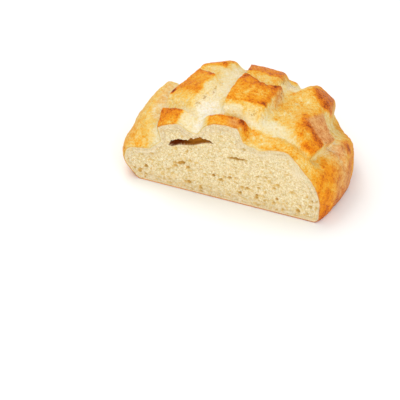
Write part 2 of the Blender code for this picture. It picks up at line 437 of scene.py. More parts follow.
BLUSHES: tuple[Shade, ...] = (
    Wash(((61, 45), (82, 35), (89, 50), (71, 76)), 5.0, 0.0, 1.0),
    *marks(
        (96, 49, 9, 14, 1.0), (110, 46, 12, 18, 1.0), (106, 27, 5, 15, 0.9), (74, 106, 4, 22, 0.6),
        (30, 62, 4, 14, 0.8),
    ),
    Wash(((-88, 20), (-77, 16), (-76, 84), (-92, 80)), 6.0, 0.0, 0.5),
    *marks((-108, 40, 10, 34, 0.5), (4, 4, 7, 5, 0.8), (28, 112, 8, 16, 0.5)),
)
TEARS: tuple[Shade, ...] = (
    *marks(
        (-44, 28, 2.0, 3.5, 1.0), (-40, 38, 1.6, 5.0, 0.9), (-35, 51, 1.8, 5.0, 1.0),
        (15, 24, 3.5, 3.0, 0.9), (21, 27, 3.0, 3.0, 0.7), (30, 68, 2.6, 7.0, 1.0), (24, 98, 3.0, 9.0, 0.9),
        (33, 113, 6.0, 8.0, 0.9), (27, 127, 6.0, 9.0, 1.0), (86.5, 49, 3.5, 4.5, 1.0),
        (82, 38, 2.5, 5.0, 0.8), (84, 80, 6.0, 12.0, 0.5), (7, 98, 2.0, 1.6, 0.9), (23, 37, 2.0, 4.0, 0.9),
        (-60, 147, 6.0, 4.0, 0.6), (4, 140, 9.0, 3.0, 0.6),
    ),
)


@dataclass(frozen=True)
class Dome:
    """The risen dough before it was cut, in mm from the middle of the cut's base line."""

    centre: Place = (-4.0, 58.0)
    half_width: float = 113.0
    half_length: float = 117.0
    widest_height: float = 20.0
    rise: float = 77.0
    power: float = 1.2
    foot_share: float = 0.94
    foot_shift: float = 4.0
    foot_shift_reach: float = 30.0
    sag_centre: Point = (-106.0, 8.0, 27.0)
    sag_reach: float = 30.0
    sag_size: float = 5.0
    hollow_centre: Point = (84.0, 126.0, 38.0)
    hollow_reach: float = 28.0
    hollow_size: float = 6.0
    top_fineness: float = 0.35
    profile_steps: int = 400

    def profile(self) -> tuple[Array, Array, Array]:
        """Works out the side of the dome from its top down to its foot.

        Returns:
            Distance down the side as a share, radius as a share, and height in mm.
        """
        angle = np.linspace(0.0, math.pi / 2, self.profile_steps)
        under = self.foot_share + (1.0 - self.foot_share) * np.cos(angle[1:])
        share = np.concatenate([np.sin(angle), under])
        top = self.widest_height + self.rise * np.cos(angle) ** self.power
        height = np.concatenate([top, self.widest_height * (1.0 - np.sin(angle[1:]))])
        radius = (self.half_width + self.half_length) / 2 * share
        steps = np.hypot(np.diff(radius), np.diff(height))
        distance = np.concatenate([[0.0], np.cumsum(steps)])
        return distance / distance[-1], share, height

    def points(self, disc: Array) -> tuple[Array, Array]:
        """Lays a disc over the dome.

        Args:
            disc: Points of the unit disc, as rows of x and y.

        Returns:
            Points of the dome in mm, and the unit directions out of it.
        """
        reach = np.hypot(disc[:, 0], disc[:, 1])
        turn = np.arctan2(disc[:, 1], disc[:, 0])
        down = reach * (1.0 + self.top_fineness * reach**2) / (1.0 + self.top_fineness)
        distance, share, height = self.profile()
        share_at = np.interp(down, distance, share)
        x = self.centre[0] + self.half_width * share_at * np.cos(turn)
        y = self.centre[1] + self.half_length * share_at * np.sin(turn)
        z = np.interp(down, distance, height)
        x += self.foot_shift * smooth(1.0 - y / self.foot_shift_reach) * smooth(1.0 - z / self.widest_height)
        rise = -np.interp(down, distance, np.gradient(height, distance))
        run = np.interp(down, distance, np.gradient(share * self.half_width, distance))
        size = np.maximum(np.hypot(rise, run), 1e-9)[:, None]
        outward = np.stack([rise * np.cos(turn), rise * np.sin(turn), run], axis=1) / size
        return np.stack([x, y, z], axis=1), outward

    def sag(self, points: Array) -> Array:
        """Gives the bulge of the left flank beside the cut, less the hollow of the right one."""
        left = np.linalg.norm(points - np.array(self.sag_centre), axis=1)
        right = np.linalg.norm(points - np.array(self.hollow_centre), axis=1)
        bulge = self.sag_size * smooth(1.0 - left / self.sag_reach)
        return bulge - self.hollow_size * smooth(1.0 - right / self.hollow_reach)


@dataclass(frozen=True)
class Scores:
    """The cuts that the baker made across the dough, and what the oven did to them."""

    depth: float = 8.5
    depth_at_cut: float = 11.5
    deep_reach: float = 40.0
    end_low: float = 30.0
    end_high: float = 48.0
    lip_reach: float = 12.0
    edge_line: float = 2.0
    waver: Waves = ((18.0, 1.0), (6.0, 0.7))
    floor_bake: float = 0.10

    def wander(self, plan: Array) -> Array:
        """Shifts places in plan a little, so that no edge runs straight."""
        moved = plan.copy()
        for wavelength, size in self.waver:
            moved[:, 0] += size * grain(plan, wavelength, 3.0)
            moved[:, 1] += size * grain(plan, wavelength, 11.0)
        return moved

    def state(self, plan: Array) -> CrustState:
        """Works out the crust at places in plan.

        Args:
            plan: Places in mm, as rows of x and y.

        Returns:
            What the plates make of each place.
        """
        moved = self.wander(plan)
        sunk, bake = np.ones(len(plan)), np.full(len(plan), self.floor_bake)
        lift, edge, blush, tear = np.zeros((4, len(plan)))
        made = CrustState(sunk, lift, np.zeros_like(plan), bake, edge, blush, tear)
        for shade in GROUND_SHADES:
            made.bake = blend(made.bake, shade.bake, shade.share(moved))
        for plate in PLATES:
            self.add_plate(made, plate, moved)
        for shade in TOP_SHADES:
            made.bake = blend(made.bake, shade.bake, shade.share(moved))
        for shade in BLUSHES:
            made.blush = np.maximum(made.blush, shade.share(moved))
        for shade in TEARS:
            made.tear = np.maximum(made.tear, shade.share(moved))
        return made

    def add_plate(self, made: CrustState, plate: Plate, plan: Array) -> None:
        """Adds one plate to the state of the crust.

        Args:
            made: The state so far, which is changed.
            plate: The plate.
            plan: Places in mm, as rows of x and y.
        """
        rise, mask = np.ones((2, len(plan)))
        scorch, torn = np.zeros((2, len(plan)))
        lift, lean = np.full(len(plan), plate.height), np.zeros_like(plan)
        for side, edge in enumerate(plate.edges):
            form = edge.value
            inside, outward = inward(plate.corners, side, plan)
            line = np.exp(-((inside / self.edge_line) ** 2))
            rise *= smooth(1.0 + inside / form.bank)
            mask *= smooth(1.0 + inside / form.fade)
            lift += form.lift * np.exp(-np.maximum(inside, 0.0) / self.lip_reach)
            scorch = np.maximum(scorch, form.scorch * line)
            torn = np.maximum(torn, line * min(form.lean, 1.0))
            lean += outward * (form.lean * line)[:, None]
        made.sunk *= 1.0 - rise
        made.lift += rise * lift
        made.lean += lean * rise[:, None]
        made.bake = blend(made.bake, plate.bank, 0.9 * rise**1.5)
        made.bake = blend(made.bake, plate.top, mask) + scorch * rise
        made.edge = np.maximum(made.edge, torn * rise)

    def push(self, made: CrustState, plan: Array, height: Array) -> Array:
        """Gives how far the crust stands off the plain dome.

        Args:
            made: What the plates make of each place.
            plan: Places in mm, as rows of x and y.
            height: Height of the plain dome there, in mm.

        Returns:
            The distance outwards in mm.
        """
        gape = smooth(1.0 - plan[:, 1] / self.deep_reach)
        depth = blend(self.depth, self.depth_at_cut, gape)
        return (made.lift - depth * made.sunk) * self.fade(height)

    def fade(self, height: Array) -> Array:
        """Gives how much of the scores is left on the flank."""
        return smooth((height - self.end_low) / (self.end_high - self.end_low))


@dataclass
class CrustShell:
    """The baked outside of the loaf, from its plates down to its foot, open at the cut.

    Attributes:
        cells: Cells of the grid each way across the dome.
        sink: How far the whole surface lies inside the plain form, in mm.
        lumps: Wavelength and height of the dough's unevenness, in mm.
        blisters: Wavelength and height of the fine blistering of the crust, in mm.
        foot_band: Height of the browner band round the foot, in mm.
        right_start: Where the browner right flank begins, in mm.
        right_width: Width over which it gets there, in mm.
        seat_depth: Depth of the hollow that the crumb sits in, in mm.
        seat_taper: Size of the hollow's floor as a share of its mouth.
        seat_centre: Middle of the hollow on the cut, in mm.
    """

    dome: Dome = field(default_factory=Dome)
    scores: Scores = field(default_factory=Scores)
    cells: int = 336
    sink: float = 0.6
    lumps: Waves = ((42.0, 1.6), (15.0, 0.7))
    blisters: Waves = ((9.0, 0.45), (4.2, 0.36), (2.2, 0.20))
    foot_band: float = 26.0
    right_start: float = 40.0
    right_width: float = 60.0
    seat_depth: float = 14.0
    seat_taper: float = 0.74
    seat_centre: Place = (-4.0, 32.0)

    def build(self) -> bpy.types.Object:
        """Models the shell as one closed mesh.

        Returns:
            The finished piece.
        """
        piece = grid_piece("loaf_crust", self.cells, self.cells)
        self.shape(piece)
        self.close_foot()
        self.cut_open(piece)
        piece.data.shade_smooth()
        return piece

    def shape(self, piece: bpy.types.Object) -> None:
        """Bends the grid over the dome and raises its relief."""
        points, outward = self.dome.points(round_off(read_points(piece)[:, :2]))
        plan, height = points[:, :2], points[:, 2]
        made = self.scores.state(plan)
        rough = self.roughness(points, made)
        push = self.scores.push(made, plan, height) + self.dome.sag(points) + rough - self.sink
        fade = self.scores.fade(height)
        placed = points + outward * push[:, None]
        placed[:, :2] += made.lean * fade[:, None]
        placed[height < 0.01, 2] = 0.0
        write_points(piece, placed)
        stored = {
            "bake": blend(made.bake, self.flank_bake(points), 1.0 - fade),
            "floor": made.sunk * fade,
            "edge": made.edge * fade,
            "blush": made.blush,
            "tear": made.tear,
        }
        for name, values in stored.items():
            write_values(piece, name, values)

    def roughness(self, points: Array, made: CrustState) -> Array:
        """Gives the dough's lumps and the crust's blisters, in mm."""
        foot = smooth(points[:, 2] / self.dome.widest_height)
        lumps = sum(size * grain(points, wavelength) for wavelength, size in self.lumps)
        blisters = sum(size * grain(points, wavelength, 5.0) for wavelength, size in self.blisters)
        torn = 0.5 * grain(points[:, :2], (1.7, 5.0), 21.0) * made.sunk
        return lumps * foot + blisters * (0.6 + 0.4 * foot) + torn

    def flank_bake(self, points: Array) -> Array:
        """Gives how brown the smooth flank is: golden above, orange brown round the foot."""
        low = smooth(1.0 - points[:, 2] / self.foot_band)
        right = smooth((points[:, 0] - self.right_start) / self.right_width)
        patchy = 0.09 * grain(points, 22.0, 40.0) + 0.08 * grain(points, 8.0, 44.0)
        return 0.42 + 0.20 * low + 0.20 * right + patchy * (1.0 + 0.6 * right)

    def close_foot(self) -> None:
        """Closes the flat foot with one face."""
        select_open_edge()
        close_selected()

    def cut_open(self, piece: bpy.types.Object) -> None:
        """Cuts the front off and sinks the seat of the crumb into the cut."""
        middle = self.seat()
        bpy.ops.object.mode_set(mode="EDIT")
        bpy.ops.mesh.select_mode(type="FACE")
        bpy.ops.mesh.select_all(action="SELECT")
        bpy.ops.mesh.bisect(
            plane_co=middle, plane_no=(0.0, 1.0, 0.0), use_fill=True, clear_inner=True, threshold=1e-7
        )
        self.select_cap(piece, middle.y)
        back_off(bpy.ops.mesh.extrude_region_move, self.seat_depth, self.seat_taper, middle)
        bpy.ops.object.mode_set(mode="OBJECT")

    def seat(self) -> Vector:
        """Gives the middle of the hollow on the cut, in m."""
        return to_world((self.seat_centre[0], 0.0, self.seat_centre[1]))

    def select_cap(self, piece: bpy.types.Object, cut_y: float) -> None:
        """Selects the face that the cut left, by its place."""
        mesh = bmesh.from_edit_mesh(piece.data)
        for face in mesh.faces:
            face.select_set(all(abs(vertex.co.y - cut_y) < 1e-6 for vertex in face.verts))
        bmesh.update_edit_mesh(piece.data)


@dataclass(frozen=True)
class Bubble:
    """A hole that the cut opened in the crumb.

    Attributes:
        place: Its middle on the cut, in mm.
        half: Half its width and half its height, in mm.
        depth: How deep it goes, in mm.
        slope: How far its right end is turned up, in degrees.
    """

    place: Place
    half: Place
    depth: float
    slope: float = 0.0


def bubbles(*rows: Row) -> tuple[Bubble, ...]:
    """Makes holes from rows of x, z, half the width, half the height, the depth and the slope."""
    return tuple(Bubble(row[:2], row[2:4], *row[4:]) for row in rows)


NAMED_BUBBLES = bubbles(
    (9.6, 49.6, 10.5, 1.4, 3.5, 5.0), (-46.2, 30.0, 5.0, 2.2, 3.0, 20.0),
    (-12.6, 24.6, 2.2, 1.9, 3.0, 30.0), (-1.7, 26.4, 2.6, 0.9, 1.6), (9.1, 27.5, 1.5, 1.1, 1.6),
    (30.7, 35.6, 2.4, 1.0, 1.8, 5.0), (10.3, 22.8, 1.6, 1.2, 1.6), (21.3, 19.5, 2.6, 1.3, 2.2),
    (32.6, 22.9, 2.2, 1.0, 1.8), (-15.0, 40.0, 2.0, 1.0, 1.6, 20.0), (14.6, 12.3, 2.4, 1.6, 2.2),
    (31.5, 14.1, 2.2, 1.5, 2.2), (51.8, 15.4, 2.0, 1.3, 2.0), (85.6, 22.3, 1.5, 1.3, 2.0),
    (80.0, 26.0, 1.6, 1.2, 1.8), (73.7, 14.6, 2.0, 1.0, 1.8), (22.0, 66.0, 2.2, 0.8, 1.4),
)


@dataclass(frozen=True)
class Tunnel:
    """The long tunnel under the top crust, with a ragged roof.

    Attributes:
        roof: Places along its roof on the cut, from left to right, in mm.
        floor: Places along its floor.
        depth: How deep it goes at its left part, in mm.
        rag: Height of the flakes that hang from its roof, in mm.
    """

    roof: tuple[Place, ...] = (
        (-59.5, 47.0), (-57.2, 52.6), (-50.2, 56.0), (-41.6, 57.0), (-33.3, 61.6), (-26.4, 63.6),
        (-19.3, 63.2), (-13.5, 60.4),
    )
    floor: tuple[Place, ...] = (
        (-59.5, 47.0), (-55.8, 46.6), (-47.9, 50.6), (-41.5, 51.4), (-34.4, 53.2), (-26.1, 57.4),
        (-19.3, 59.8), (-13.5, 60.4),
    )
    depth: float = 8.5
    rag: float = 1.1

    def opening(self, x: Array, z: Array) -> tuple[Array, Array]:
        """Measures the tunnel at places on the cut.

        Args:
            x: Places along the cut, in mm.
            z: Heights, in mm.

        Returns:
            How far each place lies inside the mouth in mm, and its share along the tunnel.
        """
        roof_x, roof_z = zip(*self.roof)
        floor_x, floor_z = zip(*self.floor)
        along = (x - roof_x[0]) / (roof_x[-1] - roof_x[0])
        flat = np.stack([x, np.zeros_like(x)], axis=1)
        flakes = self.rag * (grain(flat, 2.6, 9.0) + 0.6 * grain(flat, 1.0, 2.0))
        top = np.interp(x, roof_x, roof_z) + flakes * smooth(along * 6.0) * smooth((1.0 - along) * 6.0)
        bottom = np.interp(x, floor_x, floor_z)
        outside = (along < 0.0) | (along > 1.0)
        return np.where(outside, -1.0, np.minimum(top - z, z - bottom)), along


@dataclass(frozen=True)
class Outline:
    """The edge of the cut: the line where the crust's outside meets it.

    Attributes:
        corners: Its corners in order, as rows of x and z in mm.
        bakes: How brown the crust is at each corner.
    """

    corners: Array
    bakes: Array

    @classmethod
    def of(cls, crust: bpy.types.Object, centre: Place) -> "Outline":
        """Reads the edge off the finished crust.

        Args:
            crust: The crust, cut open.
            centre: A place on the cut that sees every corner, in mm.

        Returns:
            The edge.
        """
        points = (read_points(crust) - ORIGIN) / MM
        on_cut = np.abs(points[:, 1]) < 1e-3
        bake = np.zeros(len(points), dtype=np.float32)
        crust.data.attributes["bake"].data.foreach_get("value", bake)
        corners = points[on_cut][:, (0, 2)]
        order = np.argsort(np.arctan2(corners[:, 1] - centre[1], corners[:, 0] - centre[0]))
        return cls(corners[order], bake[on_cut][order].astype(float))

    def nearest(self, places: Array) -> tuple[Array, Array, Array]:
        """Finds the nearest point of the edge for places on the cut.

        Args:
            places: Rows of x and z, in mm.

        Returns:
            The distances in mm, positive inside, the nearest points, and the bake there.
        """
        best = np.full(len(places), np.inf)
        point = np.zeros_like(places)
        bake = np.zeros(len(places))
        inside = np.zeros(len(places), dtype=bool)
        ends = np.roll(self.corners, -1, axis=0)
        end_bakes = np.roll(self.bakes, -1)
        for start, end, first, last in zip(self.corners, ends, self.bakes, end_bakes):
            step = end - start
            part = np.clip((places - start) @ step / max(step @ step, 1e-12), 0.0, 1.0)
            foot = start + part[:, None] * step
            far = np.hypot(*(places - foot).T)
            nearer = far < best
            best[nearer], point[nearer] = far[nearer], foot[nearer]
            bake[nearer] = (first + part * (last - first))[nearer]
            spans = (start[1] > places[:, 1]) != (end[1] > places[:, 1])
            if spans.any():
                crossing = start[0] + (places[:, 1] - start[1]) * step[0] / (step[1] or 1e-12)
                inside ^= spans & (places[:, 0] < crossing)
        return np.where(inside, best, -best), point, bake


@dataclass
class CrumbFace:
    """The crumb that the cut laid open, as a plug that sits in the crust.

    Attributes:
        shell: The crust that it sits in.
        tunnel: The long tunnel under the top crust.
        low: Lower left corner of the grid on the cut, in mm.
        high: Upper right corner of the grid, in mm.
        cells: Cells of the grid along and up the cut.
        keep: How far inside the edge a point of the grid has to lie, in mm.
        map_step: Step of the map of holes, in mm.
        map_across: Where the map begins and ends along the cut, in mm.
        map_up: Where it begins and ends in height, in mm.
        pore_ends: Where the small pores begin and end along the cut, in mm.
        pore_top: How high they reach, in mm.
        small: Number of small pores, and the range of their radii in mm.
        middling: Number of middling pores, and the range of their radii in mm.
        torn: Wavelength and height of the crumb's unevenness, in mm.
        crust_line: Thickness of the crust in the section, in mm.
        rim_ramp: Distance from the crust over which the holes reach their depth, in mm.
        set_back: How far the crumb lies behind the cut's edge, in mm.
        set_back_reach: Distance from the edge over which it gets there, in mm.
        plug_depth: How far the plug goes back, in mm.
        plug_taper: Size of the plug's back as a share of its front.
        seed: Seed of the pores' draw.
    """

    shell: CrustShell
    tunnel: Tunnel = field(default_factory=Tunnel)
    low: Place = (-109.0, -0.5)
    high: Place = (98.0, 87.0)
    cells: tuple[int, int] = (470, 200)
    keep: float = 0.16
    map_step: float = 0.25
    map_across: Place = (-115.0, 112.0)
    map_up: Place = (-4.0, 92.0)
    pore_ends: Place = (-108.0, 98.0)
    pore_top: float = 84.0
    small: tuple[int, float, float] = (4200, 0.5, 1.2)
    middling: tuple[int, float, float] = (420, 0.9, 2.1)
    torn: Waves = ((7.0, 0.30), (2.6, 0.46), (1.5, 0.36))
    crust_line: float = 1.1
    rim_ramp: float = 2.6
    set_back: float = 0.35
    set_back_reach: float = 10.0
    plug_depth: float = 13.0
    plug_taper: float = 0.80
    seed: int = 7

    def build(self, crust: bpy.types.Object) -> bpy.types.Object:
        """Models the crumb inside the crust's cut edge.

        Args:
            crust: The finished crust.

        Returns:
            The finished piece.
        """
        piece = grid_piece("loaf_crumb", *self.cells)
        middle = (np.array(self.low) + np.array(self.high)) / 2
        half = (np.array(self.high) - np.array(self.low)) / 2
        places = middle + read_points(piece)[:, :2] * half
        outline = Outline.of(crust, self.shell.seat_centre)
        rim, foot, bake = outline.nearest(places)
        kept = rim > self.keep
        self.trim(piece, kept)
        places, rim, foot, bake = places[kept], rim[kept], foot[kept], bake[kept]
        edge = self.edge_points(piece)
        places[edge] = foot[edge]
        rim[edge] = 0.0
        self.carve(piece, places, rim)
        write_values(piece, "rim", np.clip(rim, 0.0, 30.0))
        write_values(piece, "rim_bake", bake)
        self.close_back()
        piece.data.shade_smooth()
        return piece

    def trim(self, piece: bpy.types.Object, kept: Array) -> None:
        """Takes the grid's points outside the cut away."""
        piece.data.polygons.foreach_set("select", np.zeros(len(piece.data.polygons), dtype=bool))
        piece.data.edges.foreach_set("select", np.zeros(len(piece.data.edges), dtype=bool))
        piece.data.vertices.foreach_set("select", ~kept)
        bpy.ops.object.mode_set(mode="EDIT")
        bpy.ops.mesh.select_mode(type="VERT")
        bpy.ops.mesh.delete(type="VERT")
        bpy.ops.object.mode_set(mode="OBJECT")

    def edge_points(self, piece: bpy.types.Object) -> Array:
        """Gives which vertices lie on the open edge of the grid."""
        mesh = bmesh.new()
        mesh.from_mesh(piece.data)
        edge = np.array([vertex.is_boundary for vertex in mesh.verts])
        mesh.free()
        return edge

    def hole_map(self) -> tuple[Array, Array, Array]:
        """Draws all the pores into one map of depth over the cut.

        Returns:
            The map's places along X, its heights, and the depth in mm.
        """
        across, up = (np.arange(*ends, self.map_step) for ends in (self.map_across, self.map_up))
        depth = np.zeros((len(up), len(across)))
        draw = np.random.default_rng(self.seed)
        for bubble in NAMED_BUBBLES + tuple(self.random_bubbles(draw)):
            self.punch(depth, across, up, bubble)
        return across, up, depth

    def random_bubbles(self, draw: np.random.Generator) -> list[Bubble]:
        """Draws the small and middling pores, flatter near the top and rounder below."""
        made = []
        for (count, least, most), fall in ((self.small, 1.15), (self.middling, 1.7)):
            for _ in range(count):
                x = draw.uniform(*self.pore_ends)
                z = self.pore_top * draw.uniform(0.0, 1.0) ** fall
                radius = least + (most - least) * draw.uniform(0.0, 1.0) ** 2.4
                radius *= 1.15 - 0.5 * z / self.pore_top
                flat = 1.15 + 0.9 * z / self.pore_top + draw.uniform(-0.25, 0.35)
                slope = -math.degrees(math.atan((x + 4.0) / 95.0 * z / 60.0))
                deep = radius * draw.uniform(0.5, 1.1)
                made.append(Bubble((x, z), (radius * flat, radius), deep, slope + draw.normal(0, 14)))
        return made

    def punch(self, depth: Array, across: Array, up: Array, bubble: Bubble) -> None:
        """Deepens the map by one bubble.

        Args:
            depth: The map, which is changed.
            across: The map's places along X, in mm.
            up: The map's heights, in mm.
            bubble: The bubble.
        """
        size = max(bubble.half)
        left, right = np.searchsorted(across, (bubble.place[0] - size, bubble.place[0] + size))
        low, high = np.searchsorted(up, (bubble.place[1] - size, bubble.place[1] + size))
        x, z = np.meshgrid(across[left:right] - bubble.place[0], up[low:high] - bubble.place[1])
        turn = math.radians(bubble.slope)
        along = x * math.cos(turn) + z * math.sin(turn)
        over = z * math.cos(turn) - x * math.sin(turn)
        far = (along / bubble.half[0]) ** 2 + (over / bubble.half[1]) ** 2
        bowl = bubble.depth * np.sqrt(np.clip(1.0 - far, 0.0, 1.0))
        patch = depth[low:high, left:right]
        np.maximum(patch, bowl, out=patch)

    def read_map(self, places: Array) -> Array:
        """Reads the depth of the pores at places on the cut, with ragged edges."""
        across, up, depth = self.hole_map()
        shift = np.stack([grain(places, 2.6, 51.0), grain(places, 2.6, 57.0)], axis=1)
        x, z = (places + 0.8 * shift).T
        column = np.clip((x - across[0]) / self.map_step, 0, len(across) - 1.001)
        row = np.clip((z - up[0]) / self.map_step, 0, len(up) - 1.001)
        j, i = column.astype(int), row.astype(int)
        s, t = column - j, row - i
        low = depth[i, j] * (1 - s) + depth[i, j + 1] * s
        high = depth[i + 1, j] * (1 - s) + depth[i + 1, j + 1] * s
        return low * (1 - t) + high * t

    def carve(self, piece: bpy.types.Object, places: Array, rim: Array) -> None:
        """Places the front of the plug and sinks its pores and its tunnel.

        Args:
            piece: The grid.
            places: Places on the cut, as rows of x and z in mm.
            rim: Distance from the cut's edge, in mm.
        """
        inside = smooth((rim - self.crust_line * 0.5) / self.rim_ramp)
        pores = self.read_map(places) * inside
        mouth, along = self.tunnel.opening(places[:, 0], places[:, 1])
        throat = smooth(mouth / 0.8) * self.tunnel.depth * (1.0 - 0.45 * smooth(along))
        torn = sum(size * grain(places, wavelength, 8.0 + size) for wavelength, size in self.torn)
        deep = np.maximum(pores, throat) + torn * inside + self.set_back * smooth(rim / self.set_back_reach)
        deep = np.maximum(deep, 0.0)
        placed = np.stack([places[:, 0], deep, places[:, 1]], axis=1)
        write_points(piece, placed)
        # Pore depth as a share, which the finish paints as shade.
        write_values(piece, "pore", np.clip(pores / 2.0, 0.0, 1.0))
        # The tunnel's mouth, and its darkening towards the deep left end; the finish paints both as shade.
        write_values(piece, "tunnel", smooth((mouth + 0.15) / 0.4))
        write_values(piece, "scorch", smooth(1.6 - 3.0 * along))
        centre = self.shell.seat_centre
        arc = np.arctan2(places[:, 1] - centre[1], places[:, 0] - centre[0]) * 60.0
        write_values(piece, "streak", grain(np.stack([arc, rim], axis=1), (6.0, 1.5), 31.0))

    def close_back(self) -> None:
        """Draws the plug back into the loaf and closes it."""
        select_open_edge()
        back_off(bpy.ops.mesh.extrude_edges_move, self.plug_depth, self.plug_taper, self.shell.seat())
        close_selected()


def colour(red: int, green: int, blue: int) -> tuple[float, float, float, float]:
    """Turns a screen colour, 0 to 255 each, into the shader's linear colour."""
    shares = [channel / 255 for channel in (red, green, blue)]
    linear = [s / 12.92 if s <= 0.04045 else ((s + 0.055) / 1.055) ** 2.4 for s in shares]
    return (linear[0], linear[1], linear[2], 1.0)


class Wire:
    """A shader socket that can be used in sums."""

    def __init__(self, graph: "Graph", socket: bpy.types.NodeSocket) -> None:
        """Keeps the graph and the socket."""
        self.graph = graph
        self.socket = socket

    def maths(self, operation: str, *others: "Wire | float", clamp: bool = False) -> "Wire":
        """Adds a Math node.

        Args:
            operation: Name of the operation.
            others: The values after this one.
            clamp: Whether the result is kept between 0 and 1.

        Returns:
            The result.
        """
        settings = {"operation": operation, "use_clamp": clamp}
        return self.graph.node("ShaderNodeMath", settings, dict(enumerate((self, *others))))

    def __add__(self, other: "Wire | float") -> "Wire":
        """Adds."""
        return self.maths("ADD", other)

    __radd__ = __add__

    def __sub__(self, other: "Wire | float") -> "Wire":
        """Subtracts."""
        return self.maths("SUBTRACT", other)

    def __rsub__(self, other: float) -> "Wire":
        """Subtracts from a number."""
        return (self * -1.0) + other

    def __mul__(self, other: "Wire | float") -> "Wire":
        """Multiplies."""
        return self.maths("MULTIPLY", other)

    __rmul__ = __mul__

    def clamped(self) -> "Wire":
        """Keeps the value between 0 and 1."""
        return self.maths("ADD", 0.0, clamp=True)

    def step(self, low: float, high: float) -> "Wire":
        """Eases from 0 to 1 as the value goes from low to high."""
        settings = {"interpolation_type": "SMOOTHSTEP"}
        return self.graph.node("ShaderNodeMapRange", settings, {0: self, 1: low, 2: high})


class Graph:
    """A material's nodes."""

    def __init__(self, name: str) -> None:
        """Starts a material with a bare Principled shader."""
        self.material = bpy.data.materials.new(name)
        self.material.use_nodes = True
        self.tree = self.material.node_tree
        self.shader = self.tree.nodes["Principled BSDF"]

    def node(self, kind: str, settings: dict, inputs: dict, output: int | str = 0) -> Wire:
        """Adds a node.

        Args:
            kind: Type name of the node.
            settings: Its properties, set before its sockets; a ramp takes its stops.
            inputs: Values or links by socket number or name.
            output: Number or name of the socket that is wanted.

        Returns:
            The wanted output.
        """
        made = self.tree.nodes.new(kind)
        for key, value in settings.items():
            if key == "stops":
                self.set_stops(made, value)
            else:
                setattr(made, key, value)
        for key, value in inputs.items():
            self.plug(made.inputs[key], value)
        return Wire(self, made.outputs[output])

    def set_stops(self, ramp: bpy.types.Node, stops: Stops) -> None:
        """Gives a ramp its stops."""
        elements = ramp.color_ramp.elements
        while len(elements) < len(stops):
            elements.new(1.0)
        for element, (position, shade) in zip(elements, stops):
            element.position = position
            element.color = shade

    def plug(self, socket: bpy.types.NodeSocket, value: "Wire | float | Colour") -> None:
        """Links a wire to a socket, or sets the socket's own value."""
        if isinstance(value, Wire):
            self.tree.links.new(value.socket, socket)
        else:
            socket.default_value = value

    def stored(self, name: str) -> Wire:
        """Reads a number stored on the vertices."""
        return self.node("ShaderNodeAttribute", {"attribute_name": name}, {}, "Fac")

    def place(self) -> Wire:
        """Gives the place on the piece, in metres."""
        return self.node("ShaderNodeTexCoord", {}, {}, "Object")

    def speckle(self, size: float, detail: float = 3.0, rough: float = 0.55) -> Wire:
        """Noise from about 0 to 1.

        Args:
            size: Size of one speck in mm.
            detail: Number of finer layers.
            rough: Strength of the finer layers.

        Returns:
            The noise.
        """
        inputs = {"Vector": self.place(), "Scale": 1.0 / (size * MM), "Detail": detail, "Roughness": rough}
        return self.node("ShaderNodeTexNoise", {}, inputs, "Fac")

    def cells(self, size: float) -> Wire:
        """Distance to the nearest of many scattered points, from 0 to about 1."""
        inputs = {"Vector": self.place(), "Scale": 1.0 / (size * MM)}
        return self.node("ShaderNodeTexVoronoi", {}, inputs, "Distance")

    def ramp(self, value: Wire, stops: Stops) -> Wire:
        """Turns a value into a colour."""
        return self.node("ShaderNodeValToRGB", {"stops": stops}, {0: value}, "Color")

    def mix(self, share: "Wire | float", low: "Wire | Colour", high: "Wire | Colour") -> Wire:
        """Mixes two colours."""
        return self.node("ShaderNodeMix", {"data_type": "RGBA"}, {0: share, 6: low, 7: high}, 2)

    def multiply(self, base: Wire, other: "Wire | Colour") -> Wire:
        """Multiplies one colour by another."""
        settings = {"data_type": "RGBA", "blend_type": "MULTIPLY"}
        return self.node("ShaderNodeMix", settings, {0: 1.0, 6: base, 7: other}, 2)

    def bump(self, height: Wire, distance: float, strength: float = 1.0) -> Wire:
        """Turns a height into a normal; the distance is in mm."""
        inputs = {"Height": height, "Distance": distance * MM, "Strength": strength}
        return self.node("ShaderNodeBump", {}, inputs, "Normal")

    def dress(self, **sockets: "Wire | float | Colour") -> bpy.types.Material:
        """Fills the shader's sockets, named with underscores, and gives the material."""
        for name, value in sockets.items():
            self.plug(self.shader.inputs[name.replace("_", " ")], value)
        return self.material


def stops(*rows: tuple[float, int, int, int]) -> Stops:
    """Makes a ramp's stops from rows of position, red, green and blue."""
    return tuple((row[0], colour(*row[1:])) for row in rows)


BAKE_STOPS = stops(
    (0.00, 251, 244, 226), (0.12, 244, 225, 172), (0.28, 244, 208, 122), (0.42, 244, 192, 86),
    (0.56, 245, 168, 40), (0.68, 239, 144, 22), (0.78, 221, 116, 20), (0.88, 188, 86, 20),
    (1.00, 122, 54, 20),
)
ROSY_STOPS = stops(
    (0.00, 244, 230, 206), (0.25, 240, 206, 156), (0.50, 232, 174, 112), (0.72, 210, 128, 68),
    (0.88, 164, 78, 36), (1.00, 100, 44, 22),
)


